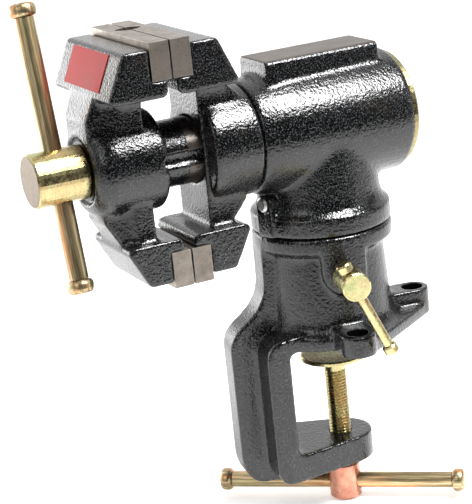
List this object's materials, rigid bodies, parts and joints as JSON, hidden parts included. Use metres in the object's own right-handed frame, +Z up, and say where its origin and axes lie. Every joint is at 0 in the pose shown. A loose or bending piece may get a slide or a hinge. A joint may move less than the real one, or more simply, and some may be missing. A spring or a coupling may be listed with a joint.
{
  "type": "bench vise",
  "caption": "Bench vise with a C-clamp base, a swivel, a turning head with an anvil, and paired upper and lower jaws on one screw.",
  "frame": {"origin": "on the vertical swivel axis, on the plane where the base sits on the bench top", "axes": "+Z up, out of the anvil's top; the barrel, the jaw screw and the ram run along X at rest, with the jaws at -X and the rear cap at +X"},
  "size_m": [0.2182, 0.1207, 0.3038],
  "materials": {
    "casting_paint": "black hammertone paint over rough iron castings, glossy on the crests",
    "yellow_zinc": "turned steel with yellow iridescent zinc plating, streaked olive and orange",
    "copper_plate": "turned steel with pale pink copper-coloured plating",
    "ground_steel": "ground hardened steel, warm grey, fine grinding lines",
    "plain_steel": "plain machined steel",
    "label_film": "plain red adhesive label with no print"
  },
  "bodies": {
    "base": {"base_casting": "casting_paint"},
    "swivel": {"swivel_casting": "casting_paint", "flange_stop_pin": "plain_steel"},
    "head": {"fixed_jaw_casting": "casting_paint", "upper_fixed_pad": "ground_steel", "lower_fixed_pad": "ground_steel", "upper_fixed_pad_screw_1": "plain_steel", "upper_fixed_pad_screw_2": "plain_steel", "lower_fixed_pad_screw_1": "plain_steel", "lower_fixed_pad_screw_2": "plain_steel", "rear_cap": "yellow_zinc", "cap_screw_1": "plain_steel", "cap_screw_2": "plain_steel", "cap_screw_3": "plain_steel", "lead_nut": "plain_steel", "ram_key": "plain_steel"},
    "movable_jaw": {"movable_jaw_casting": "casting_paint", "upper_movable_pad": "ground_steel", "lower_movable_pad": "ground_steel", "upper_movable_pad_screw_1": "plain_steel", "upper_movable_pad_screw_2": "plain_steel", "lower_movable_pad_screw_1": "plain_steel", "lower_movable_pad_screw_2": "plain_steel", "jaw_label": "label_film", "thrust_washer": "plain_steel"},
    "jaw_screw": {"jaw_screw": "yellow_zinc", "retaining_collar": "plain_steel", "collar_pin": "plain_steel"},
    "jaw_bar": {"jaw_bar": "yellow_zinc", "jaw_bar_knob_a": "yellow_zinc", "jaw_bar_knob_b": "yellow_zinc"},
    "clamp_pad": {"clamp_pad": "yellow_zinc"},
    "clamp_screw": {"clamp_screw": "yellow_zinc", "clamp_screw_head": "copper_plate"},
    "clamp_bar": {"clamp_bar": "yellow_zinc", "clamp_bar_knob_a": "yellow_zinc", "clamp_bar_knob_b": "yellow_zinc"},
    "lock_shoe": {"lock_shoe": "plain_steel"},
    "lock_screw": {"lock_screw": "yellow_zinc"},
    "lock_bar": {"lock_bar": "yellow_zinc", "lock_bar_knob_a": "yellow_zinc", "lock_bar_knob_b": "yellow_zinc"}
  },
  "joints": [
    {"name": "swivel_turn", "type": "hinge", "parent": "base", "child": "swivel", "pos_m": [0, 0, 0.0624], "axis": [0, 0, 1], "continuous": true},
    {"name": "head_turn", "type": "hinge", "parent": "swivel", "child": "head", "pos_m": [0, 0, 0.1168], "axis": [1, 0, 0], "continuous": true},
    {"name": "jaw_slide", "type": "slide", "parent": "head", "child": "movable_jaw", "axis": [-1, 0, 0], "range_m": [-0.00075, 0.0641]},
    {"name": "jaw_screw_turn", "type": "hinge", "parent": "movable_jaw", "child": "jaw_screw", "pos_m": [-0.146, 0, 0.1168], "axis": [-1, 0, 0], "range_deg": [-63, 5760]},
    {"name": "jaw_bar_slide", "type": "slide", "parent": "jaw_screw", "child": "jaw_bar", "axis": [0, 0.225, 0.9744], "range_m": [-0.0665, 0.0385]},
    {"name": "clamp_pad_slide", "type": "slide", "parent": "base", "child": "clamp_pad", "axis": [0, 0, 1], "range_m": [-0.0401, 0.00122]},
    {"name": "clamp_screw_turn", "type": "hinge", "parent": "clamp_pad", "child": "clamp_screw", "pos_m": [0, 0, -0.091], "axis": [0, 0, 1], "range_deg": [-8220, 240]},
    {"name": "clamp_bar_slide", "type": "slide", "parent": "clamp_screw", "child": "clamp_bar", "axis": [0.766, -0.6428, 0], "range_m": [-0.0518, 0.0562]},
    {"name": "lock_shoe_slide", "type": "slide", "parent": "base", "child": "lock_shoe", "axis": [-0.2402, -0.9707, 0], "range_m": [0, 0.00126]},
    {"name": "lock_screw_turn", "type": "hinge", "parent": "lock_shoe", "child": "lock_screw", "pos_m": [-0.01408, -0.05688, 0.0423], "axis": [-0.2402, -0.9707, 0], "range_deg": [0, 300]},
    {"name": "lock_bar_slide", "type": "slide", "parent": "lock_screw", "child": "lock_bar", "axis": [-0.3902, 0.0966, 0.9157], "range_m": [0, 0.0305]}
  ],
  "couplings": [
    {"joint": "jaw_slide", "follows": "jaw_screw_turn", "m_per_rad": 0.00063662},
    {"joint": "clamp_pad_slide", "follows": "clamp_screw_turn", "m_per_rad": 0.00027852},
    {"joint": "lock_shoe_slide", "follows": "lock_screw_turn", "m_per_rad": 0.00023873}
  ]
}
